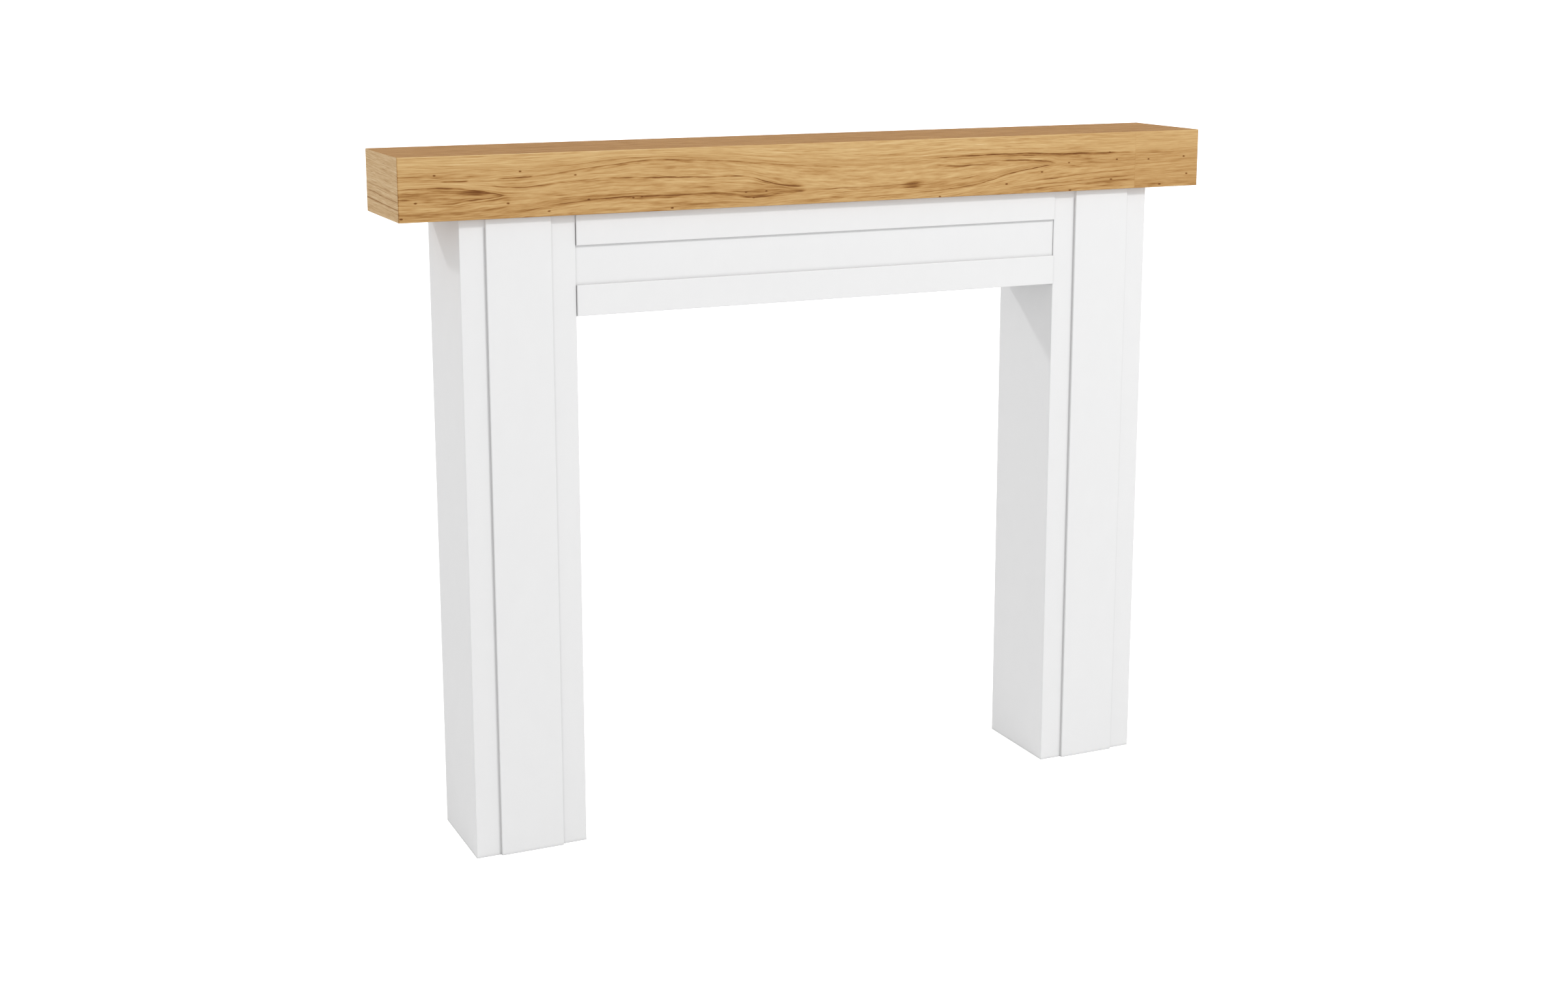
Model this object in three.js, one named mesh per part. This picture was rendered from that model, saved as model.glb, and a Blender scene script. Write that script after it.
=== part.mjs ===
import * as THREE from "three";
import { ConvexGeometry } from "three/addons/geometries/ConvexGeometry.js";

// A fireplace surround made of boards: a hollow box shelf faced in oak, on two white box legs that are
// open at the back and below, with a panelled frieze between the legs under the shelf and a soffit
// behind it, over the opening.
// Millimetres, +Z up. X runs along the shelf and the front looks along -Y. The origin is on the floor,
// under the middle of the shelf.

// Shelf
const shelfHeight = 96;
const sideOverhang = 94; // past the legs' outer sides
const frontOverhang = 16; // past the legs' front strips

// Legs
const openingWidth = 848; // between the legs
const legWidth = 182;
const legDepth = 172;
const legHeight = 1008;
const stripWidth = 40; // flat strip left on each side of the raised panel
const panelThickness = 5;

// Frieze
const railHeight = 48;
const fieldHeight = 61; // recessed field between the rails
const railThickness = 5;
const friezeSetback = 2; // from the legs' front strips back to the recessed field
const friezeClearance = 0.5; // from the frieze to the leg, at each end

// Boards
const boardThickness = 16;
const arris = 1; // width taken off a sharp edge
const mitreGap = 0.3; // glue line between two mitred boards

// Worked out from the sizes above
const shelfLength = openingWidth + 2 * (legWidth + sideOverhang);
const shelfDepth = legDepth + frontOverhang;
const back = shelfDepth / 2;
const shelfFront = -back;
const legFront = shelfFront + frontOverhang;
const fieldFront = legFront + friezeSetback;
const railFront = fieldFront - railThickness;
const friezeHeight = 2 * railHeight + fieldHeight;

const oak = new THREE.MeshStandardMaterial({ color: 0xd2aa73, roughness: 0.55, metalness: 0 });
const white = new THREE.MeshStandardMaterial({ color: 0xeeeeee, roughness: 0.45, metalness: 0 });

// How an edge of a board is finished: its distance inside the board's block, at a depth below the show
// face. An eased edge has a small flat on its arris. A mitred edge slopes back at 45 degrees, and shares
// that flat with the board it meets.
const edgeFinish = {
  square: () => 0,
  eased: (depth) => Math.max(arris - depth, 0),
  mitred: (depth) => Math.max(arris - depth, depth + mitreGap / 2),
};

// A board fills the block from low to high. Its show face looks along face, such as "-y", and edges gives
// the finish of its sides, such as { "-x": "mitred" }. A side that isn't named is square.
function board(name, material, low, high, face, edges = {}) {
  const size = high.map((value, axis) => value - low[axis]);
  const faceAxis = "xyz".indexOf(face[1]);
  const thickness = size[faceAxis];
  const depths = [0, (arris - mitreGap / 2) / 2, arris, thickness];
  const place = (axis, sign, depth) => {
    const side = (sign > 0 ? "+" : "-") + "xyz"[axis];
    if (axis !== faceAxis) return sign * (size[axis] / 2 - edgeFinish[edges[side] ?? "square"](depth));
    return (face[0] === "+" ? 1 : -1) * (thickness / 2 - depth);
  };
  const corners = [];
  for (const depth of depths) {
    for (const [first, second] of [[-1, -1], [1, -1], [1, 1], [-1, 1]]) {
      const signs = [first, second];
      signs.splice(faceAxis, 0, 0);
      corners.push(new THREE.Vector3(...signs.map((sign, axis) => place(axis, sign, depth))));
    }
  }
  const mesh = new THREE.Mesh(new ConvexGeometry(corners), material);
  mesh.name = name;
  mesh.position.set(...low.map((value, axis) => value + size[axis] / 2));
  return mesh;
}

// The box shelf: five boards mitred together, open at the back.
function shelf() {
  const group = new THREE.Group();
  const left = -shelfLength / 2;
  const right = shelfLength / 2;
  const all = { "-x": "mitred", "+x": "mitred", "-z": "mitred", "+z": "mitred" };
  const lying = { "-x": "mitred", "+x": "mitred", "-y": "mitred" };
  const end = { "-y": "mitred", "-z": "mitred", "+z": "mitred" };
  group.add(
    board("shelf_front", oak, [left, shelfFront, 0], [right, shelfFront + boardThickness, shelfHeight],
      "-y", all),
    board("shelf_top", oak, [left, shelfFront, shelfHeight - boardThickness], [right, back, shelfHeight],
      "+z", lying),
    board("shelf_underside", oak, [left, shelfFront, 0], [right, back, boardThickness], "-z", lying),
    board("shelf_end_left", oak, [left, shelfFront, 0], [left + boardThickness, back, shelfHeight],
      "-x", end),
    board("shelf_end_right", oak, [right - boardThickness, shelfFront, 0], [right, back, shelfHeight],
      "+x", end),
  );
  group.position.z = legHeight;
  return group;
}

// One leg: a front and two sides mitred into a post that is open at the back, with a raised panel.
// side is -1 for the left leg and 1 for the right one.
function leg(side) {
  const group = new THREE.Group();
  const name = side < 0 ? "leg_left" : "leg_right";
  const edge = legWidth / 2;
  const panelEdge = edge - stripWidth;
  const sideBoard = (part, outward) => {
    const near = outward > 0 ? edge - boardThickness : -edge;
    return board(`${name}_${part}`, white, [near, legFront, 0], [near + boardThickness, back, legHeight],
      outward > 0 ? "+x" : "-x", { "-y": "mitred" });
  };
  group.add(
    board(`${name}_front`, white, [-edge, legFront, 0], [edge, legFront + boardThickness, legHeight],
      "-y", { "-x": "mitred", "+x": "mitred" }),
    sideBoard("outer_side", side),
    sideBoard("inner_side", -side),
    board(`${name}_panel`, white, [-panelEdge, legFront - panelThickness, 0],
      [panelEdge, legFront, legHeight], "-y", { "-x": "eased", "+x": "eased" }),
  );
  group.position.x = side * (openingWidth + legWidth) / 2;
  return group;
}

// The frieze: a board between the legs, with a raised rail along its top and one along its bottom, and a
// soffit that reaches from it back to the plane of the legs' back edges.
function frieze() {
  const group = new THREE.Group();
  const edge = openingWidth / 2 - friezeClearance;
  const eased = { "-x": "eased", "+x": "eased", "-z": "eased" };
  const rail = (name, low, edges) =>
    board(name, white, [-edge, railFront, low], [edge, fieldFront, low + railHeight], "-y", edges);
  const fieldBack = fieldFront + boardThickness;
  group.add(
    board("frieze_board", white, [-edge, fieldFront, 0], [edge, fieldBack, friezeHeight], "-y"),
    board("frieze_soffit", white, [-edge, fieldBack, 0], [edge, back, boardThickness], "-z"),
    rail("frieze_top_rail", friezeHeight - railHeight, eased),
    rail("frieze_low_rail", 0, { ...eased, "+z": "eased" }),
  );
  group.position.z = legHeight - friezeHeight;
  return group;
}

const surround = new THREE.Group();
surround.add(shelf(), leg(-1), leg(1), frieze());

export default surround;
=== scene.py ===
# %% [markdown]
# # A fireplace surround in oak decor and matt white
#
# This notebook dresses a fireplace surround whose boards are already set out in a frame: a box shelf faced
# with a golden oak decor, two white box legs with a raised panel each, and a railed frieze between them.
# The frame fixes where every board is and how large it is. Here each board gets its softened arrises, its
# finish and its light. Lengths are in metres unless a comment says millimetres. X runs along the shelf,
# the front looks along -Y and +Z is up.

# %% Load the frame
import math

import bmesh
import bpy
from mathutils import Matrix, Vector


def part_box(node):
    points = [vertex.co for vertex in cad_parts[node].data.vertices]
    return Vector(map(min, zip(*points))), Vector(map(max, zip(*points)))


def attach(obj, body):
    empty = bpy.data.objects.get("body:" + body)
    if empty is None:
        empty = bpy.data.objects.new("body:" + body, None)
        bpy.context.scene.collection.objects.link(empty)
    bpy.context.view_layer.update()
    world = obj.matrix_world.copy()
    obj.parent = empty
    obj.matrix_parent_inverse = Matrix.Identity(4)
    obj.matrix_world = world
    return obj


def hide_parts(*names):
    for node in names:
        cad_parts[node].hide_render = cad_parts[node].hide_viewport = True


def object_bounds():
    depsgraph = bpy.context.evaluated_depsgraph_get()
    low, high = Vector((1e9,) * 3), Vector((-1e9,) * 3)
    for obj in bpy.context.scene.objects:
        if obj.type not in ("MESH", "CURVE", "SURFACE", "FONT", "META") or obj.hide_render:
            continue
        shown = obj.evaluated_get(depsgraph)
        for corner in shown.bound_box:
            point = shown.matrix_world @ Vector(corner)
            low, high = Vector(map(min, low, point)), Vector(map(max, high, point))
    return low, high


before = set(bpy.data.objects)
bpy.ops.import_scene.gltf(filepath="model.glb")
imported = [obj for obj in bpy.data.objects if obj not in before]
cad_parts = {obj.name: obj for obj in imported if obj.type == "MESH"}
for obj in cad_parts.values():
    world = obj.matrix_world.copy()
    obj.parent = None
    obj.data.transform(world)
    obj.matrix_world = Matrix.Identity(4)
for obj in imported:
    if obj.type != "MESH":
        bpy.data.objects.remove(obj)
frame_low, frame_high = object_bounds()
middle = (frame_low + frame_high) / 2
print("nodes in the frame:", len(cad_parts))
print("overall size in mm:", [round(1000 * side) for side in frame_high - frame_low])

# %% [markdown]
# ## The camera
#
# The surround is seen from a little over the shelf's height and from the left, so that the shelf's left end
# and the left sides of both legs show. A level camera would need a strong lens shift to hold the feet in the
# picture, and then every other view would lose the shelf. Tilting the camera down a little and keeping only a
# small shift gives nearly the same picture, and the other views stay whole.

# %% Set up the camera
CAMERA_PLACE = Vector((-1.4607, -3.1096, 1.3601))
CAMERA_TURN = math.radians(24.553)  # to the right of straight ahead
CAMERA_TILT = math.radians(11.038)  # downwards
LENS = 48.42  # mm, on a picture 36 mm wide
LENS_SHIFT = -0.07

camera_data = bpy.data.cameras.new("camera")
camera_data.lens = LENS
camera_data.sensor_width = 36
camera_data.sensor_fit = "HORIZONTAL"
camera_data.shift_y = LENS_SHIFT
camera = bpy.data.objects.new("camera", camera_data)
camera.location = CAMERA_PLACE
camera.rotation_euler = (math.radians(90) - CAMERA_TILT, 0, -CAMERA_TURN)
bpy.context.scene.collection.objects.link(camera)
bpy.context.scene.camera = camera
print("camera to the middle of the surround:", round((CAMERA_PLACE - middle).length, 2), "m")

# %% [markdown]
# ## Boards with softened arrises
#
# Every visible part is a flat board. The boards of the shelf and of the legs meet in mitres: one sheet of
# decor runs round the corner, so the corner is a small round with no line beside it. A bevel modifier would
# round a board on its own and open the mitre, so each board is built as a stack of rectangles from its show
# face inwards. Their insets follow a quarter circle, and from its middle on a mitred side runs back at
# 45 degrees, exactly where the next board's mitre lies.

# %% A helper that makes one board
ARRIS = 0.0012  # radius of a softened edge
ARC_STEPS = 8


def inset_at(finish, depth):
    """How far inside its block a side of a board lies, at a depth below the show face."""
    if finish == "square":
        return 0.0
    drop = max(ARRIS - depth, 0.0)
    round_off = ARRIS - math.sqrt(ARRIS**2 - drop**2) if drop else 0.0
    return max(round_off, depth) if finish == "mitred" else round_off


def rectangle(low, high, axis, level, insets):
    """The corners of a rectangle across an axis: the block's outline, moved inwards on each side."""
    first, second = [other for other in range(3) if other != axis]
    corners = []
    for end_first, end_second in ((0, 0), (1, 0), (1, 1), (0, 1)):
        corner = Vector((0, 0, 0))
        corner[axis] = level
        for other, end in ((first, end_first), (second, end_second)):
            side = ("-", "+")[end] + "xyz"[other]
            corner[other] = high[other] - insets[side] if end else low[other] + insets[side]
        corners.append(corner)
    return corners


def board_mesh(low, high, face, mitred="", eased=""):
    """A board that fills the block from low to high, with its show face looking along face."""
    axis = "xyz".index(face[1])
    turns = [math.radians(90 * step / ARC_STEPS) for step in range(ARC_STEPS + 1)]
    depths = [ARRIS * (1 - math.cos(turn)) for turn in turns] + [high[axis] - low[axis]]
    sides = [sign + letter for sign in "-+" for letter in "xyz"]
    finish = {side: "mitred" if side in mitred else "eased" if side in eased else "square" for side in sides}
    shape = bmesh.new()
    rings = []
    for depth in depths:
        insets = {side: inset_at(finish[side], depth) for side in sides}
        level = high[axis] - depth if face[0] == "+" else low[axis] + depth
        rings.append([shape.verts.new(p) for p in rectangle(low, high, axis, level, insets)])
    shape.faces.new(rings[0])
    shape.faces.new(rings[-1])
    for above, below in zip(rings, rings[1:]):
        for corner in range(4):
            after = (corner + 1) % 4
            shape.faces.new((above[corner], above[after], below[after], below[corner]))
    bmesh.ops.recalc_face_normals(shape, faces=shape.faces)
    return shape


print("a softened edge has", ARC_STEPS, "steps over", round(1000 * ARRIS, 1), "mm")

# %% [markdown]
# ## A helper for finishes
#
# A finish is a chain of shader nodes. The small class below adds one node at a time and hands back its
# output, so a recipe reads like a sum. All patterns are worked out from the place on the object, in
# millimetres, so a vein or a pore has its real size and stays where it is from every side.

# %% The finish helper
class Finish:
    """A material under construction."""

    def __init__(self, name):
        self.material = bpy.data.materials.new(name)
        self.material.use_nodes = True
        self.tree = self.material.node_tree
        self.surface = self.tree.nodes["Principled BSDF"]

    def add(self, kind, *values, output=0, **settings):
        """Adds a node, fills its inputs in order with numbers or outputs, and returns one of its outputs."""
        made = self.tree.nodes.new("ShaderNode" + kind)
        for key, value in settings.items():
            setattr(made, key, value)
        for place, value in enumerate(values):
            if isinstance(value, bpy.types.NodeSocket):
                self.tree.links.new(value, made.inputs[place])
            else:
                made.inputs[place].default_value = value
        return made.outputs[output]

    def maths(self, operation, *values):
        return self.add("Math", *values, operation=operation)

    def total(self, *values):
        """The sum of any number of values."""
        result = values[0]
        for value in values[1:]:
            result = self.maths("ADD", result, value)
        return result

    def spread(self, value, start, end, low=0.0, high=1.0, smooth=True):
        """Maps value from start..end to low..high and holds it there."""
        kind = "SMOOTHSTEP" if smooth else "LINEAR"
        return self.add("MapRange", value, start, end, low, high, interpolation_type=kind)

    def millimetres(self):
        """The place on the object along X, Y and Z, in millimetres."""
        place = self.add("TexCoord", output=3)
        scaled = self.add("VectorMath", place, (1000, 1000, 1000), operation="MULTIPLY")
        return [self.add("SeparateXYZ", scaled, output=axis) for axis in range(3)]

    def noise(self, along, across, layer, detail=2.0, size=(1, 1)):
        """Cloudy noise from 0 to 1 in flecks of the given size along and across, in millimetres."""
        first = self.maths("DIVIDE", along, size[0])
        second = self.maths("DIVIDE", across, size[1])
        where = self.add("CombineXYZ", first, second, layer)
        return self.add("TexNoise", where, 0, 1, detail, 0.55)

    def colours(self, value, stops):
        """Turns a value into a colour, along stops of (value, colour)."""
        made = self.tree.nodes.new("ShaderNodeValToRGB")
        self.tree.links.new(value, made.inputs[0])
        ramp = made.color_ramp.elements
        while len(ramp) < len(stops):
            ramp.new(0.5)
        for element, (place, colour) in zip(ramp, stops):
            element.position = place
            element.color = colour
        return made.outputs[0]

    def curve(self, share, spots):
        """Turns a share from 0 to 1 into a height, on a smooth curve through spots of (share, height)."""
        made = self.tree.nodes.new("ShaderNodeFloatCurve")
        self.tree.links.new(share, made.inputs["Value"])
        points = made.mapping.curves[0].points
        points[0].location, points[1].location = spots[0], spots[-1]
        for spot in spots[1:-1]:
            points.new(*spot)
        made.mapping.update()
        return made.outputs[0]

    def set(self, socket, value):
        """Sets a socket of the surface to a number, or links it to an output."""
        if isinstance(value, bpy.types.NodeSocket):
            self.tree.links.new(value, self.surface.inputs[socket])
        else:
            self.surface.inputs[socket].default_value = value

    def bump(self, height, depth, strength=1.0):
        """Raises the surface by height, a value from 0 to 1, over a depth in millimetres."""
        self.set("Normal", self.add("Bump", strength, depth / 1000, 1.0, height))


def paint(red, green, blue):
    """A colour from 0..255 screen values to the shader's linear values."""
    linear = [(c / 255 / 12.92) if c < 11 else ((c / 255 + 0.055) / 1.055) ** 2.4 for c in (red, green, blue)]
    return (*linear, 1.0)


print("mid grey 188 in linear light:", round(paint(188, 188, 188)[0], 2))

# %% [markdown]
# ## Matt white boards
#
# The legs and the frieze are white furniture boards with a smooth matt face. A flat white would look like
# paper, so the face has a very fine grain in its tone and its sheen, and a faint pebbling of the lacquer.
#
# Beside the panels and along the rails the real boards show a fine grey line of shade in the corner, where
# little light gets in. Soft light alone leaves that line too faint here, so the shade is painted into the
# white's colour. A painted line would have to be placed by hand, but an ambient occlusion node feels how shut
# in a place is, so it finds every corner by itself. Right under the shelf the shelf's own shadow is dark
# enough, so the painted shade ends below it.

# %% The matt white finish
WHITE_RAMP = [(0.3, (0.776, 0.776, 0.778, 1)), (0.7, (0.788, 0.788, 0.789, 1))]
PAINTED_SHADE_REACH = 0.0055  # m, how far from a corner the painted shade reaches
PAINTED_SHADE_TONE = 0.82  # how light the painted shade leaves the white in the corner itself
PAINTED_SHADE_FADE = 4  # mm, over which the painted corner shade ends below the shelf's shadow
SHELF_SHADOW = 12  # mm, height of that shadow
PAINTED_SHADE_TOP = 1000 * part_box("shelf_underside")[0].z - SHELF_SHADOW


def matt_white():
    """Smooth white melamine with a barely visible pebbled grain, and painted shade in its corners."""
    white = Finish("matt_white")
    x, y, z = white.millimetres()
    side = white.maths("ADD", x, y)
    cloud = white.noise(side, z, 3, detail=3, size=(34, 60))
    grain = white.noise(side, z, 7, detail=2, size=(1.1, 1.1))
    tone = white.total(white.maths("MULTIPLY", cloud, 0.7), white.maths("MULTIPLY", grain, 0.3))
    face = white.colours(tone, WHITE_RAMP)
    # Painted shade: the ambient occlusion value darkens the white in the corners, but not right under the
    # shelf.
    openness = white.add("AmbientOcclusion", (1, 1, 1, 1), PAINTED_SHADE_REACH, output=1, samples=12)
    deepest_painted_shade = white.spread(z, PAINTED_SHADE_TOP - PAINTED_SHADE_FADE, PAINTED_SHADE_TOP, PAINTED_SHADE_TONE, 1.0)
    painted_corner_shade = white.spread(openness, 0.5, 1.0, deepest_painted_shade, 1.0, smooth=False)
    white.set("Base Color", white.add("VectorMath", face, painted_corner_shade, operation="MULTIPLY"))
    white.set("Roughness", white.spread(grain, 0.2, 0.8, 0.46, 0.56))
    white.bump(grain, 0.03, 0.35)
    return white.material


white_finish = matt_white()
# The grey of the corners printed here is painted shade.
print("finish:", white_finish.name, "with grey corners up to", round(PAINTED_SHADE_TOP), "mm")

# %% [markdown]
# ## The hidden faces
#
# From behind, the shelf and the legs are open boxes. The boards are faced inside with a plain backing paper,
# and their cut edges show the chips of the board. Both are plainer than the front, as on furniture that
# stands against a wall. Chips could be scattered meshes, but at this size a cell pattern looks the same.

# %% Backing and cut edges
CHIP_SIZE = 3.2  # mm


def backing():
    """Plain warm-white backing paper on the inside of the boards."""
    paper = Finish("backing_paper")
    x, y, z = paper.millimetres()
    cloud = paper.noise(paper.maths("ADD", x, y), z, 11, detail=4, size=(8, 8))
    stops = [(0.3, paint(222, 219, 211)), (0.7, paint(230, 227, 220))]
    paper.set("Base Color", paper.colours(cloud, stops))
    paper.set("Roughness", 0.7)
    return paper.material


def cut_edge():
    """The cut edge of chipboard: pale chips of all sizes, with darker gaps between them."""
    chips = Finish("cut_chipboard")
    place = chips.millimetres()
    where = chips.add("CombineXYZ", *[chips.maths("DIVIDE", side, CHIP_SIZE) for side in place])
    chip = chips.add("TexVoronoi", where, output=1)
    shade = chips.add("SeparateColor", chip)
    fleck = chips.add("TexNoise", where, 0, 2.6, 4, 0.7)
    tone = chips.total(chips.maths("MULTIPLY", shade, 0.55), chips.maths("MULTIPLY", fleck, 0.6))
    stops = [(0.2, paint(128, 96, 62)), (0.5, paint(186, 156, 116)), (0.85, paint(214, 190, 152))]
    chips.set("Base Color", chips.colours(tone, stops))
    chips.set("Roughness", 0.9)
    chips.bump(tone, 0.3, 0.6)
    return chips.material


backing_finish = backing()
cut_finish = cut_edge()
print("finishes:", backing_finish.name, cut_finish.name)

# %% [markdown]
# ## The oak decor of the shelf front
#
# The decor shows a plain-sawn plank. Its growth rings meet the face in long tongues that lie in each other,
# open to the left, each with its tip further to the right. Noise alone gives streaks but no tongues, so the
# lines are drawn first: each one is a curve of a few places, along the shelf and down from its top edge, in
# millimetres. Between two lines a value called the level rises evenly, and all fibres are noise along
# the level, so they flow round the tongues as in the plank.

# %% The lines of growth on the shelf front
SPINE = [(165, 61), (350, 58.5), (500, 60.5), (600, 66.5), (654, 70.8), (861, 70.6), (941, 65), (1000, 58),
         (1060, 51), (1118, 48), (1400, 47)]
TONGUES = [  # (tip, upper side, lower side), from the innermost to the outermost
    (160, [(0, 49), (67, 47), (116, 52.5), (145, 57.5)], [(0, 69), (55, 71.5), (123, 66.3), (148, 63.8)]),
    (654, [(0, 41), (74, 41), (125, 45.3), (194, 50.9), (250, 46.2), (295, 43.1), (350, 43), (475, 46.4),
           (555, 48.4), (580, 55.8), (600, 60.7), (627, 65.8)],
     [(0, 90), (179, 86), (250, 78), (324, 72.5), (439, 72.5), (500, 74), (537, 78.8), (569, 81),
      (629, 75.9)]),
    (1115, [(0, 37), (199, 35), (312, 24), (395, 17.2), (446, 18.3), (517, 22.8), (584, 29.5), (700, 38.4),
            (941, 37.5), (1018, 40), (1099, 43.5)],
     [(0, 100), (600, 94), (843, 86.5), (890, 84.4), (945, 79.7), (990, 71.4), (1030, 61.4), (1063, 55.8),
      (1101, 51)]),
]
ABOVE = [
    [(0, -20), (1400, -20)],
    [(0, 12), (256, 13), (350, 8), (446, 8), (551, 15), (607, 20), (700, 25), (803, 26), (856, 24.5),
     (894, 21.5), (1017, 21.5), (1217, 26.5), (1400, 24)],
    [(0, 24), (256, 21), (350, 14), (446, 13), (551, 20), (640, 28), (778, 35), (901, 31), (1050, 29.7),
     (1117, 32.4), (1400, 31)],
]
BELOW = [
    [(0, 120), (500, 112), (745, 100), (890, 92), (1000, 82), (1112, 72.5), (1206, 65.8), (1400, 60)],
    [(0, 140), (600, 125), (890, 100), (1050, 84), (1193, 77), (1400, 70)],
    [(0, 158), (600, 140), (890, 108), (1050, 91), (1272, 80), (1400, 78)],
    [(0, 178), (890, 140), (1400, 120)],
]
LINE_GAP = 0.3  # mm between two lines that run together


def nested_lines():
    """All lines from the top edge down. Past its tip a tongue's line runs along the spine."""
    upper, lower = [], []
    for rank, (tip, over, under) in enumerate(TONGUES):
        rest = [place for place in SPINE if place[0] > tip]
        gap = LINE_GAP * (rank + 0.5)
        upper.insert(0, over + [(along, down - gap) for along, down in rest])
        lower.append(under + [(along, down + gap) for along, down in rest])
    return ABOVE + upper + lower + BELOW


front_lines = nested_lines()
print("lines of growth:", len(front_lines), "with", sum(len(line) for line in front_lines), "places")

# %% [markdown]
# The levels below say how far apart the lines count as they would lie in a calm plank, and the tones say
# how light the wood is at each level: paler near the top edge, browner inside the tongues.

# %% Levels and tones
LEVELS = [-20, 14, 25, 36, 46, 54, 66, 76, 88, 96, 104, 114, 134]
TONES = [(-20, 0.58), (8, 0.63), (17, 0.61), (27, 0.51), (36, 0.52), (46, 0.58), (54, 0.50), (60, 0.44),
         (66, 0.50), (76, 0.42), (80, 0.50), (88, 0.50), (96, 0.52), (104, 0.46), (134, 0.44)]
print(len(LEVELS), "levels and", len(TONES), "tones")

# %% [markdown]
# The veins are the dark lines of the late wood. Each one follows a line of growth for a stretch, or runs a
# little beside it, and many have a soft brown shade on one side. They are listed one by one, because where
# they are strong is what gives the plank its look.

# %% The veins
# Each one: its line, counted from 0 at the top, mm below that line, its start and its end along the shelf,
# half its width in mm, its darkness, and its shaded side: 1 below the vein, -1 above it, 0 for none.
VEINS = [
    (1, 0, 880, 1030, 1.4, 0.22, 0), (1, 0, 1000, 1270, 0.7, 0.14, 0), (1, 0, 470, 890, 0.7, 0.10, 1),
    (2, 0, 230, 470, 1.0, 0.14, 1), (2, 0, 865, 1240, 0.9, 0.50, 1), (2, 1.5, 1090, 1272, 1.2, 0.20, 1),
    (2, 2.5, 690, 910, 0.7, 0.20, 1), (2, -4, 600, 860, 0.6, 0.12, -1),
    (3, 0.5, 62, 106, 1.0, 0.36, 0), (3, 0, 148, 206, 1.1, 0.42, 0), (3, 0, 190, 720, 0.8, 0.30, 1),
    (3, 0, 1010, 1116, 0.9, 0.44, 1), (3, 3.5, 230, 560, 0.6, 0.12, 0), (3, 8, 905, 1030, 0.8, 0.26, 0),
    (4, 0, 100, 320, 0.8, 0.30, 1), (4, 0, 300, 656, 0.9, 0.42, 1), (4, 0, 195, 250, 1.0, 0.24, 0),
    (4, -4, 360, 540, 0.6, 0.10, 0),
    (5, 0, 0, 162, 1.0, 0.42, 1), (6, 0, 45, 162, 0.9, 0.36, -1), (6, 3.5, 20, 210, 0.6, 0.12, 0),
    (7, 0, 170, 545, 0.8, 0.24, -1), (7, 0, 528, 656, 1.4, 0.36, -1), (7, 0, 655, 860, 0.7, 0.32, 0),
    (7, 6.5, 690, 840, 0.6, 0.20, 0), (8, 0, 740, 830, 0.7, 0.22, 0), (8, 0, 830, 1116, 0.8, 0.46, -1),
    (9, 0, 1040, 1272, 0.8, 0.28, 0), (10, 0, 1060, 1272, 0.8, 0.26, 0), (11, 0, 1040, 1272, 0.7, 0.22, 0),
    (9, 0, 60, 330, 0.7, 0.16, 0), (10, -14, 0, 300, 0.7, 0.16, 0), (10, -10, 330, 620, 0.6, 0.12, 0),
]
print(len(VEINS), "veins")

# %% [markdown]
# Broad soft ovals make parts of the plank browner, or paler where their darkness is below 0. The pits are
# short dark dashes, such as large pores leave.

# %% The patches and the pits
PATCHES = [  # (along, down, half length, half height, darkness)
    (112, 57, 34, 6.5, 0.26), (154, 61, 14, 3, 0.22), (30, 57, 90, 10, 0.12), (60, 32, 80, 8, 0.12),
    (500, 73, 190, 5, 0.12), (385, 74, 80, 4, 0.14), (580, 71, 50, 10, 0.10), (600, 60, 60, 5, 0.14),
    (847, 72, 24, 8, 0.30), (843, 77, 22, 4, 0.20), (885, 74, 40, 9, 0.14), (640, 73, 20, 4, 0.14),
    (225, 50, 50, 5, 0.14), (1110, 33, 150, 5, 0.14), (960, 48, 110, 12, 0.08), (1190, 44, 130, 16, 0.10),
    (340, 70, 130, 8, 0.08), (120, 93, 160, 5, 0.12), (1340, 44, 120, 18, 0.08), (586, 56, 36, 6, 0.12),
    (622, 66, 40, 6, 0.16), (575, 80, 56, 4, 0.16), (640, 14, 260, 14, -0.10), (700, 42, 200, 8, -0.06),
    (1230, 10, 260, 18, 0.07),
]
PITS = [  # (along, down)
    (4, 90), (26, 68), (55, 28), (117, 53), (166, 73), (186, 27), (230, 88), (272, 35), (293, 73), (365, 74),
    (379, 73), (428, 92), (552, 73), (565, 82), (587, 73), (896, 94), (1021, 79), (1089, 62), (1141, 48),
    (1144, 94), (1221, 33), (1225, 79), (1235, 45), (1299, 47), (1323, 91), (1371, 45), (1378, 75),
]
print(len(PATCHES), "patches and", len(PITS), "pits")

# %% [markdown]
# The oak recipe comes in steps: first the fibres and the colour, which every oak face has, and then what
# the front alone has. Fibres are four layers of noise, from broad to fine, stretched along the grain, with
# short dark dashes over them. A tone from 0 to 1 is turned into a colour by a ramp, from the brown of a vein
# to the pale tan of the early wood. The pores that roughen the face have a small noise of their own: a bump
# works its height out three times, and with the whole recipe as its height the shader would be too large.

# %% Fibres and colour of oak
OAK_RAMP = [(0.0, paint(112, 68, 30)), (0.2, paint(156, 112, 61)), (0.4, paint(184, 143, 90)),
            (0.6, paint(199, 162, 109)), (0.8, paint(210, 177, 124)), (1.0, paint(223, 194, 146))]
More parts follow.
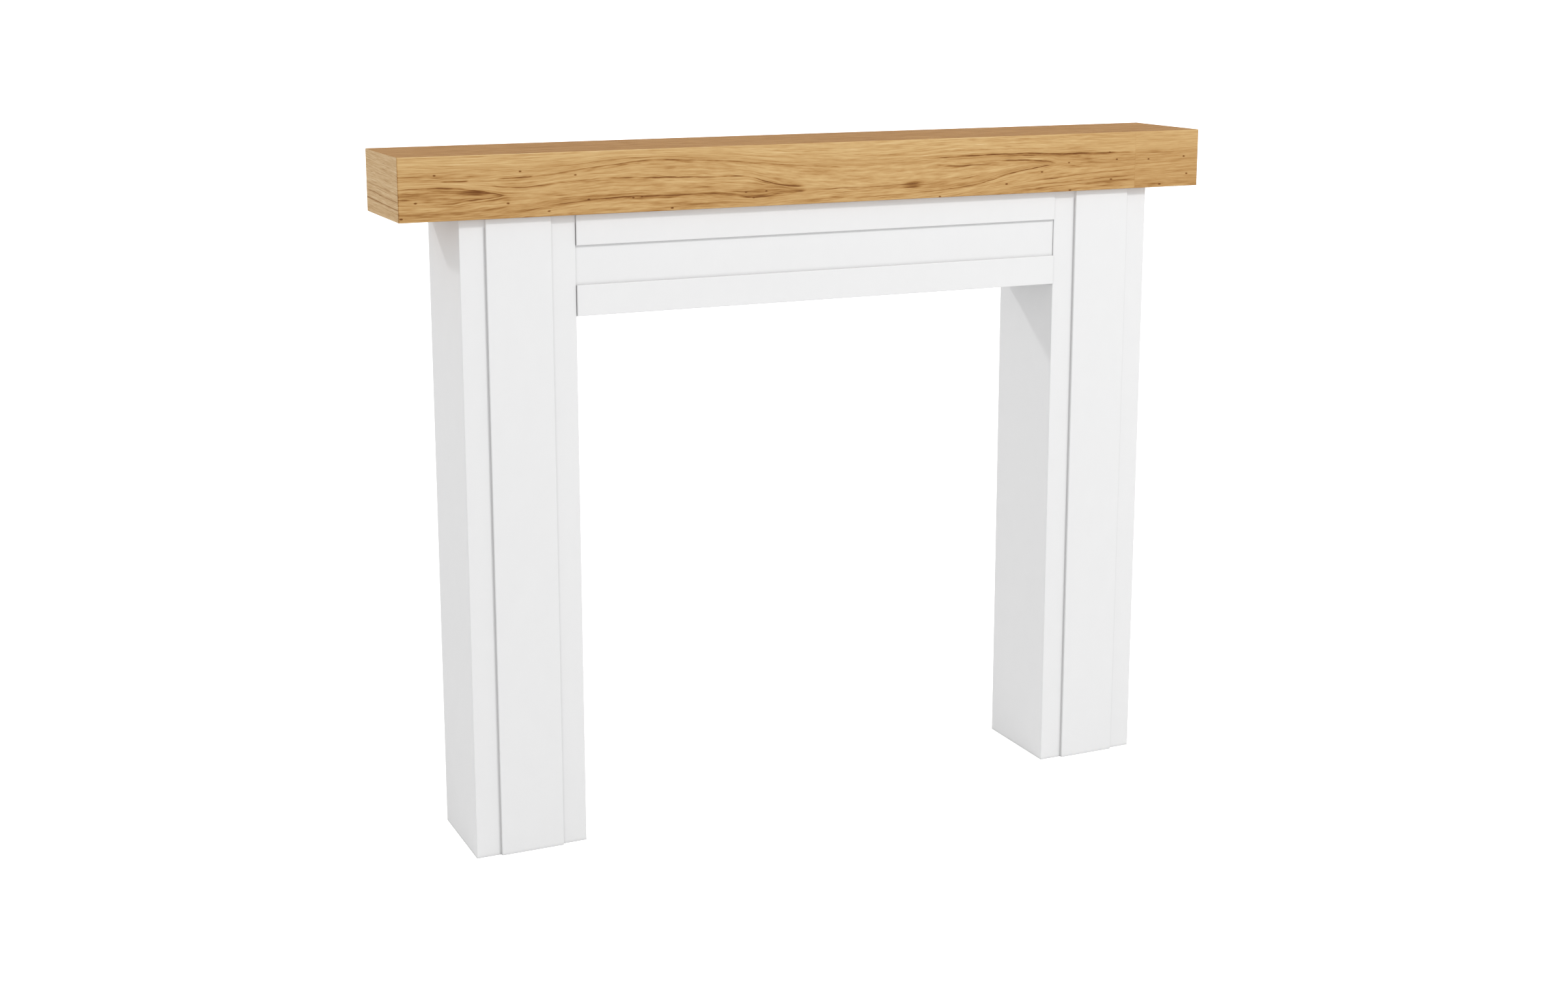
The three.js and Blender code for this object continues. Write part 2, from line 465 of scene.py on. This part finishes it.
# The top's ramp is darker than the front's, though the decor is the same: painted shade, for the top lit at a
# low angle. The underside uses it too.
TOP_RAMP_WITH_PAINTED_SHADE = [(0.0, paint(114, 72, 34)), (0.2, paint(144, 98, 53)), (0.4, paint(163, 118, 68)),
            (0.6, paint(176, 132, 81)), (0.8, paint(187, 144, 93)), (1.0, paint(198, 158, 107))]
END_RAMP = [(0.0, paint(150, 112, 70)), (0.2, paint(176, 140, 98)), (0.4, paint(190, 157, 114)),
            (0.6, paint(201, 170, 128)), (0.8, paint(209, 181, 140)), (1.0, paint(217, 192, 154))]
FIBRES = [((300, 9), 0.34), ((130, 3.4), 0.55), ((70, 1.8), 0.80), ((26, 1.0), 0.70)]  # (size in mm, swing)
DASH_SIZE, DASH_DARKNESS = (46, 1.9), 0.22


def fibres(oak, along, level, contrast):
    """The change of tone by the fibres: streaks from broad to fine along the grain, and short dashes."""
    result = 0.0
    for rank, (size, share) in enumerate(FIBRES):
        streak = oak.noise(along, level, 5.0 + 3 * rank, detail=2, size=size)
        swing = oak.maths("MULTIPLY", oak.maths("SUBTRACT", streak, 0.5), share * contrast)
        result = oak.maths("ADD", result, swing)
    dash = oak.noise(along, level, 19.0, detail=1, size=DASH_SIZE)
    return oak.maths("SUBTRACT", result, oak.spread(dash, 0.60, 0.80, 0, DASH_DARKNESS * contrast))


def finish_oak(oak, tone, along, across, ramp=OAK_RAMP, gloss=0.12):
    """The colour of oak from its tone, a satin sheen, and fine pores that run along the grain."""
    oak.set("Base Color", oak.colours(tone, ramp))
    pores = oak.noise(along, across, 27, detail=1, size=(24, 0.9))
    oak.set("Roughness", oak.spread(pores, 0.3, 0.7, 0.64, 0.54))
    oak.set("Specular IOR Level", gloss)
    oak.bump(pores, 0.06, 0.3)
    return oak.material


print("oak ramp:", len(OAK_RAMP), "stops, and", len(FIBRES), "layers of fibres")

# %% [markdown]
# A line of growth becomes a float curve, which gives its height for each place along the shelf. Two curves
# that come close could cross between their points, so each is held a little below the one above it.

# %% Curves and levels
DOWN_LOW, DOWN_HIGH = -40.0, 200.0  # mm, the range that a line's curve can hold


def line_curve(oak, along, places, length):
    """How far down a line is, for each place along the shelf, in millimetres."""
    share = oak.maths("DIVIDE", along, length)
    spots = [(place / length, (down - DOWN_LOW) / (DOWN_HIGH - DOWN_LOW)) for place, down in places]
    return oak.spread(oak.curve(share, spots), 0, 1, DOWN_LOW, DOWN_HIGH, smooth=False)


def ordered_curves(oak, along, lines, length):
    """The curves of all lines, each held a little below the one above it, so that none cross."""
    curves = []
    for places in lines:
        curve = line_curve(oak, along, places, length)
        if curves:
            curve = oak.maths("MAXIMUM", curve, oak.maths("ADD", curves[-1], LINE_GAP / 2))
        curves.append(curve)
    return curves


def level_field(oak, down, curves):
    """The level at a place: it rises evenly from each line to the next one."""
    level = LEVELS[0]
    for above, below, low, high in zip(curves, curves[1:], LEVELS, LEVELS[1:]):
        level = oak.maths("ADD", level, oak.spread(down, above, below, 0, high - low, smooth=False))
    return level


def line_tone(oak, level):
    """How light the wood is at each level."""
    low, high = LEVELS[0], LEVELS[-1]
    share = oak.spread(level, low, high, smooth=False)
    return oak.curve(share, [((place - low) / (high - low), tone) for place, tone in TONES])


print("a line's curve holds", DOWN_LOW, "to", DOWN_HIGH, "mm")

# %% [markdown]
# A vein is darkest on its curve and fades within its width. Where it has a shaded side, a paler brown starts
# at the vein and dies away over a few millimetres, as late wood does towards the early wood of its ring.

# %% Veins and patches
VEIN_FADE = 60.0  # mm, the most that a vein takes to rise at its start
VEIN_DARKNESS = 1.12  # for all veins together
SHADE_REACH = 8.0  # mm, how far the brown beside a vein goes
SHADE_DARKNESS = 0.3  # of the vein's own
SHADE_LAP = 0.3  # mm, how far the brown laps over the vein's middle
END_LAP = 2.0  # mm, past which a vein's start and end are quite gone


def vein(oak, along, down, curve, below, start, end, half_width, darkness, side):
    """A thin dark line beside a line of growth, with soft brown below it (side 1) or above it (side -1)."""
    off = oak.maths("SUBTRACT", down, oak.maths("ADD", curve, below))
    line = oak.spread(oak.maths("ABSOLUTE", off), 0, 2 * half_width, 1, 0)
    if side:
        shade = oak.spread(off, -SHADE_LAP * side, SHADE_REACH * side, SHADE_DARKNESS, 0)
        on_side = oak.maths("GREATER_THAN", oak.maths("MULTIPLY", off, side), -SHADE_LAP)
        line = oak.maths("MAXIMUM", line, oak.maths("MULTIPLY", shade, on_side))
    fade = min(VEIN_FADE, (end - start) / 4)
    rise = oak.spread(along, start - END_LAP, start + fade)
    fall = oak.spread(along, end - fade / 3, end + END_LAP, 1, 0)
    mark = oak.maths("MULTIPLY", oak.maths("MULTIPLY", rise, fall), line)
    return oak.maths("MULTIPLY", mark, VEIN_DARKNESS * darkness)


def patch(oak, along, down, centre, half_size, darkness):
    """A soft oval that is darker than the wood around it."""
    across = oak.maths("DIVIDE", oak.maths("SUBTRACT", along, centre[0]), half_size[0])
    upright = oak.maths("DIVIDE", oak.maths("SUBTRACT", down, centre[1]), half_size[1])
    where = oak.add("CombineXYZ", across, upright, 0)
    radius = oak.add("VectorMath", where, operation="LENGTH", output=1)
    return oak.spread(radius, 0.1, 1.1, darkness, 0)


print("the brown beside a vein reaches", SHADE_REACH, "mm")

# %% [markdown]
# Now the front is put together. A soft noise lets all lines waver a little, and another one makes the veins
# stronger and weaker along their way, like ink. On the right the decor sheet ends and a second, calmer one
# begins. The join is a fine upright line, past which the veins stop and only fibres and a few pits go on. The
# decor is a little darker where it is folded round the upright corners. Along the top arris a painted
# highlight makes the wood paler.

# %% The finish of the shelf front
SHELF_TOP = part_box("shelf_top")[1].z
SHELF_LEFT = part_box("shelf_end_left")[0].x
SHELF_LENGTH = 1000 * (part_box("shelf_end_right")[1].x - SHELF_LEFT)
WAVER_SIZE, WAVER_ALONG, WAVER_DOWN = (46, 11), 2.0, 3.0  # mm
INK_SIZE, INK_WEAK, INK_STRONG = (26, 2.5), 0.35, 1.1  # size in mm
JOIN = 1272.0  # mm along the shelf
CALMING, CALM = 120.0, 0.65  # mm before the join over which the fibres calm down, and to what share
SHEET_OFFSET = 40.0  # mm, how far the second sheet's fibres are from the first one's
SHEET_DARKNESS = 0.02
SEAM_WIDTH, SEAM_DARKNESS = 1.2, 0.05
FOLD_WIDTH, FOLD_DARKNESS = 2.2, 0.3  # mm, the line where the decor is folded round an upright corner
# Painted highlight: how much paler the wood is made along the top arris, where the light catches it.
PAINTED_ARRIS_HIGHLIGHT = 0.25
PIT_SIZE, PIT_DARKNESS = (3.4, 1.7), 0.7  # half length and half height in mm


def front_marks(oak, along, down, curves, ink):
    """How much the veins, the patches and the pits darken the wood."""
    dark = 0.0
    for line, below, *shape in VEINS:
        mark = vein(oak, along, down, curves[line], below, *shape)
        dark = oak.maths("MAXIMUM", dark, mark)
    dark = oak.maths("MULTIPLY", dark, ink)
    for place, height, half_length, half_height, darkness in PATCHES:
        mark = patch(oak, along, down, (place, height), (half_length, half_height), darkness)
        dark = oak.maths("ADD", dark, mark)
    for place in PITS:
        dark = oak.maths("MAXIMUM", dark, patch(oak, along, down, place, PIT_SIZE, PIT_DARKNESS))
    return dark


def oak_front():
    """The plank with its tongues."""
    oak = Finish("oak_front")
    x, y, z = oak.millimetres()
    flat_along = oak.maths("SUBTRACT", x, 1000 * SHELF_LEFT)
    flat_down = oak.maths("SUBTRACT", 1000 * SHELF_TOP, z)
    waver = oak.maths("SUBTRACT", oak.noise(flat_along, flat_down, 1.5, detail=2, size=WAVER_SIZE), 0.5)
    flow = oak.noise(flat_along, flat_down, 21, detail=2, size=INK_SIZE)
    ink = oak.spread(flow, 0.25, 0.65, INK_WEAK, INK_STRONG)
    along = oak.maths("ADD", flat_along, oak.maths("MULTIPLY", waver, WAVER_ALONG))
    down = oak.maths("ADD", flat_down, oak.maths("MULTIPLY", waver, WAVER_DOWN))
    curves = ordered_curves(oak, along, front_lines, SHELF_LENGTH)
    level = level_field(oak, down, curves)
    past_join = oak.spread(along, JOIN, JOIN + 1)
    liveliness = oak.spread(along, JOIN - CALMING, JOIN, 1, CALM)
    sheet = oak.maths("ADD", level, oak.maths("MULTIPLY", past_join, SHEET_OFFSET))
    streaks = oak.maths("MULTIPLY", fibres(oak, along, sheet, 1.0), liveliness)
    tone = oak.total(line_tone(oak, level), streaks, oak.maths("MULTIPLY", past_join, -SHEET_DARKNESS))
    dark = front_marks(oak, along, down, curves, ink)
    from_join = oak.maths("ABSOLUTE", oak.maths("SUBTRACT", along, JOIN))
    seam = oak.spread(from_join, 0, SEAM_WIDTH, SEAM_DARKNESS, 0)
    fold = oak.maths("ADD", oak.spread(flat_along, 0, FOLD_WIDTH, FOLD_DARKNESS, 0),
                     oak.spread(flat_along, SHELF_LENGTH - FOLD_WIDTH, SHELF_LENGTH, 0, FOLD_DARKNESS))
    # Painted highlight along the top arris.
    painted_arris_highlight = oak.spread(flat_down, 0, FOLD_WIDTH, PAINTED_ARRIS_HIGHLIGHT, 0)
    tone = oak.total(tone, oak.maths("MULTIPLY", oak.total(dark, seam, fold), -1), painted_arris_highlight)
    return finish_oak(oak, tone, flat_along, flat_down)


front_finish = oak_front()
print("shader nodes in the shelf front:", len(front_finish.node_tree.nodes))

# %% [markdown]
# ## The oak decor of the other shelf faces
#
# The top and the underside show straight lengthwise fibres, which sway only a little. The fibres' noise is
# enough for them, with more contrast and hardly any gloss: seen at a low angle, gloss would bleach the top.

# %% The finish of the top and the underside
CALM_BEND = 20.0  # mm, how far the fibres sway sideways
CALM_CONTRAST = 2.0
TOP_GLOSS = 0.02
TOP_TONE, UNDERSIDE_TONE = 0.62, 0.60


def oak_lengthwise(name, tone):
    """Calm oak with the grain along the shelf."""
    oak = Finish(name)
    x, y, z = oak.millimetres()
    bend = oak.maths("SUBTRACT", oak.noise(x, y, 31, detail=1, size=(240, 60)), 0.5)
    level = oak.maths("ADD", y, oak.maths("MULTIPLY", bend, CALM_BEND))
    tone = oak.maths("ADD", tone, fibres(oak, x, level, CALM_CONTRAST))
    return finish_oak(oak, tone, x, y, TOP_RAMP_WITH_PAINTED_SHADE, TOP_GLOSS)


top_finish = oak_lengthwise("oak_top", TOP_TONE)
underside_finish = oak_lengthwise("oak_underside", UNDERSIDE_TONE)
print("finishes:", top_finish.name, underside_finish.name)

# %% [markdown]
# On the ends the sheet runs from front to back. It is paler, with a few darker lines that sink a little
# towards the front, the strongest of them low down. They are straight, so each is a height and a darkness.

# %% The finish of the ends
END_LINES = [(12, 0.12), (21, 0.10), (50, 0.30), (61, 0.50), (73, 0.46), (84, 0.20)]  # (mm down, darkness)
END_LINE_WIDTH = 2.2  # mm to each side
END_SLOPE = 0.026
END_BEND = 4.0  # mm
END_TONE, END_CONTRAST, END_GLOSS = 0.60, 1.4, 0.04


def oak_end(name):
    """Paler oak with the grain from front to back."""
    oak = Finish(name)
    x, y, z = oak.millimetres()
    back_distance = oak.maths("SUBTRACT", 1000 * frame_high.y, y)
    down = oak.maths("SUBTRACT", 1000 * SHELF_TOP, z)
    tilt = oak.maths("MULTIPLY", back_distance, -END_SLOPE)
    bend = oak.maths("SUBTRACT", oak.noise(y, down, 41, detail=2, size=(60, 14)), 0.5)
    level = oak.total(down, tilt, oak.maths("MULTIPLY", bend, END_BEND))
    tone = oak.maths("ADD", END_TONE, fibres(oak, y, level, END_CONTRAST))
    for height, darkness in END_LINES:
        off = oak.maths("ABSOLUTE", oak.maths("SUBTRACT", level, height))
        tone = oak.maths("SUBTRACT", tone, oak.spread(off, 0, END_LINE_WIDTH, darkness, 0))
    front_distance = oak.maths("SUBTRACT", y, 1000 * frame_low.y)
    tone = oak.maths("SUBTRACT", tone, oak.spread(front_distance, 0, FOLD_WIDTH, FOLD_DARKNESS, 0))
    return finish_oak(oak, tone, y, down, END_RAMP, END_GLOSS)


end_finish = oak_end("oak_end")
print("finish:", end_finish.name)

# %% [markdown]
# ## Putting a board in its place
#
# A piece is a board's mesh with three finishes: its show face, the backing behind it and the cut edges that
# are named as raw. It replaces its node of the frame and rides on the surround's one body. The large flats
# must stay flat while the arrises shade smoothly, which a weighted-normal modifier does.

# %% A helper that places one piece
SHOW, BACKING, CUT = 0, 1, 2  # places in a piece's list of finishes
ALIGNED = 0.99  # a face whose normal is this close to a direction looks that way
SHARP_TURN = math.radians(30)


def faces_along(normal, side):
    """Whether a normal looks along a side, such as -y."""
    return normal["xyz".index(side[1])] * (1 if side[0] == "+" else -1) > ALIGNED


def make_piece(name, low, high, face, finish, mitred="", eased="", raw=""):
    """Builds a board, gives each face its finish, and lets it stand for the node of the same name."""
    shape = board_mesh(low, high, face, mitred, eased)
    for polygon in shape.faces:
        polygon.smooth = True
        polygon.material_index = BACKING if faces_along(-polygon.normal, face) else SHOW
        for side in raw.split():
            if faces_along(polygon.normal, side):
                polygon.material_index = CUT
    for edge in shape.edges:
        if edge.calc_face_angle() > SHARP_TURN:
            edge.smooth = False
    mesh = bpy.data.meshes.new(name + "_board")
    shape.to_mesh(mesh)
    shape.free()
    for used in (finish, backing_finish, cut_finish):
        mesh.materials.append(used)
    piece = bpy.data.objects.new(name + "_board", mesh)
    bpy.context.scene.collection.objects.link(piece)
    even = piece.modifiers.new("flat faces stay flat", "WEIGHTED_NORMAL")
    even.keep_sharp = True
    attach(piece, "root")
    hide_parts(name)


print("a piece has a show face, a backing and raw edges")

# %% [markdown]
# ## The box shelf
#
# Five boards are folded round a hollow. Their outer planes are taken from the boards that show there: the
# ends give the length, the top and the underside give the height.

# %% Make the shelf
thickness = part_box("shelf_front")[1].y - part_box("shelf_front")[0].y
left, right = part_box("shelf_end_left")[0].x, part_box("shelf_end_right")[1].x
front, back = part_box("shelf_front")[0].y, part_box("shelf_top")[1].y
bottom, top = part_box("shelf_underside")[0].z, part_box("shelf_top")[1].z

make_piece("shelf_front", Vector((left, front, bottom)), Vector((right, front + thickness, top)), "-y",
           front_finish, mitred="-x +x -z +z")
make_piece("shelf_top", Vector((left, front, top - thickness)), Vector((right, back, top)), "+z",
           top_finish, mitred="-x +x -y", raw="+y")
make_piece("shelf_underside", Vector((left, front, bottom)), Vector((right, back, bottom + thickness)), "-z",
           underside_finish, mitred="-x +x -y", raw="+y")
make_piece("shelf_end_left", Vector((left, front, bottom)), Vector((left + thickness, back, top)), "-x",
           end_finish, mitred="-y -z +z", raw="+y")
make_piece("shelf_end_right", Vector((right - thickness, front, bottom)), Vector((right, back, top)), "+x",
           end_finish, mitred="-y -z +z", raw="+y")
print("shelf in mm:", [round(1000 * size) for size in (right - left, back - front, top - bottom)])

# %% [markdown]
# ## The legs
#
# Each leg is a post of three boards, mitred at its front corners and open at the back, with a thin panel on
# its front that leaves a strip on both sides.

# %% Make the legs
def make_leg(side):
    """One leg: side is left or right."""
    name = "leg_" + side
    outer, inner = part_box(name + "_outer_side"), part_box(name + "_inner_side")
    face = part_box(name + "_front")
    low = Vector((min(outer[0].x, inner[0].x), face[0].y, face[0].z))
    high = Vector((max(outer[1].x, inner[1].x), outer[1].y, face[1].z))
    deep = face[1].y - face[0].y
    make_piece(name + "_front", low, Vector((high.x, low.y + deep, high.z)), "-y", white_finish,
               mitred="-x +x", raw="-z")
    for part, place in (("_outer_side", outer), ("_inner_side", inner)):
        at_left = place[0].x < (low.x + high.x) / 2
        start = Vector((low.x if at_left else high.x - deep, low.y, low.z))
        end = Vector((low.x + deep if at_left else high.x, high.y, high.z))
        make_piece(name + part, start, end, "-x" if at_left else "+x", white_finish,
                   mitred="-y", raw="+y -z")
    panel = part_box(name + "_panel")
    make_piece(name + "_panel", panel[0], panel[1], "-y", white_finish, eased="-x +x",
               raw="-z")
    return high.x - low.x


for side in ("left", "right"):
    print(side, "leg is", round(1000 * make_leg(side)), "mm wide")

# %% [markdown]
# ## The frieze
#
# Between the legs, a board closes the space under the shelf. One thin rail lies along its top and one along
# its bottom, which leaves a sunk field between them, and a soffit runs back to the wall over the opening.

# %% Make the frieze
FRIEZE_PIECES = [  # (node, face, eased sides, raw sides)
    ("frieze_board", "-y", "", ""),
    ("frieze_soffit", "-z", "", "+y"),
    ("frieze_top_rail", "-y", "-x +x -z", ""),
    ("frieze_low_rail", "-y", "-x +x -z +z", ""),
]
for node, face, eased, raw in FRIEZE_PIECES:
    low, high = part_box(node)
    make_piece(node, low, high, face, white_finish, eased=eased, raw=raw)
    print(node, "in mm:", [round(1000 * size) for size in high - low])

# %% [markdown]
# ## Floor
#
# The surround stands on a plain white sweep with no shadow on it, as on a bright studio table. The sweep
# glows only in the picture itself: as a source of light it would brighten the boards from below, and the
# thin shadows under the shelf and the rails would go.

# %% The white floor
FLOOR_HALF = 40.0
FLOOR_TONE = 0.8  # how much light it throws back on the boards


def white_floor():
    """A very large floor that is pure white in the picture."""
    sweep = Finish("white_floor")
    sweep.set("Base Color", (FLOOR_TONE, FLOOR_TONE, FLOOR_TONE, 1))
    sweep.set("Roughness", 0.9)
    sweep.set("Specular IOR Level", 0.0)
    sweep.set("Emission Color", (1, 1, 1, 1))
    sweep.set("Emission Strength", sweep.add("LightPath"))
    return sweep.material


floor_mesh = bpy.data.meshes.new("floor")
corners = [(-FLOOR_HALF, -FLOOR_HALF, 0), (FLOOR_HALF, -FLOOR_HALF, 0), (FLOOR_HALF, FLOOR_HALF, 0),
           (-FLOOR_HALF, FLOOR_HALF, 0)]
floor_mesh.from_pydata(corners, [], [(0, 1, 2, 3)])
floor_mesh.materials.append(white_floor())
floor = bpy.data.objects.new("floor", floor_mesh)
bpy.context.scene.collection.objects.link(floor)
print("floor:", 2 * FLOOR_HALF, "m square")

# %% [markdown]
# ## Light
#
# Two soft lamps shape the boards: one from the front, the right and above, which throws the thin shadows of
# the shelf, the panels and the rails, and a weaker one from behind on the left, which lights the left sides.
# The rest is a soft sky, bright at the horizon and weaker overhead. An even sky would be simpler, but under
# the shelf it leaves a wide soft shade where the real one has a short clear shadow.

# %% The sky and the two lamps
SKY_LOW, SKY_HIGH = 1.27, 0.40  # brightness at the horizon and overhead
LAMPS = [  # (name, direction from the surround, distance, width, watts)
    ("front_lamp", Vector((0.58, -1.0, 0.92)), 8.0, 1.0, 221.0),
    ("back_lamp", Vector((-1.22, 1.20, 1.0)), 8.0, 0.5, 110.0),
]

world = bpy.data.worlds.new("sky")
world.use_nodes = True
bpy.context.scene.world = world
sky = world.node_tree
background = sky.nodes["Background"]
direction = sky.nodes.new("ShaderNodeTexCoord")
parts = sky.nodes.new("ShaderNodeSeparateXYZ")
rise = sky.nodes.new("ShaderNodeMapRange")
seen = sky.nodes.new("ShaderNodeLightPath")
brighter = sky.nodes.new("ShaderNodeMath")
brighter.operation = "MAXIMUM"
sky.links.new(direction.outputs["Generated"], parts.inputs[0])
sky.links.new(parts.outputs[2], rise.inputs[0])
rise.inputs[3].default_value, rise.inputs[4].default_value = SKY_LOW, SKY_HIGH
sky.links.new(rise.outputs[0], brighter.inputs[0])
sky.links.new(seen.outputs["Is Camera Ray"], brighter.inputs[1])
sky.links.new(brighter.outputs[0], background.inputs["Strength"])
background.inputs["Color"].default_value = (1, 1, 1, 1)

for name, toward, distance, width, power in LAMPS:
    lamp_data = bpy.data.lights.new(name, "AREA")
    lamp_data.shape = "DISK"
    lamp_data.size = width
    lamp_data.energy = power
    lamp = bpy.data.objects.new(name, lamp_data)
    lamp.location = middle + distance * toward.normalized()
    lamp.rotation_euler = toward.to_track_quat("Z", "Y").to_euler()
    bpy.context.scene.collection.objects.link(lamp)
    print(name, "at", [round(side, 2) for side in lamp.location])

# %% [markdown]
# ## Colour on screen
#
# The white boards should come out as plain light greys, and the oak in its own colours, so the picture is
# shown without a film look.

# %% Set the display
bpy.context.scene.view_settings.view_transform = "Standard"
bpy.context.scene.view_settings.look = "None"
print("view transform:", bpy.context.scene.view_settings.view_transform)
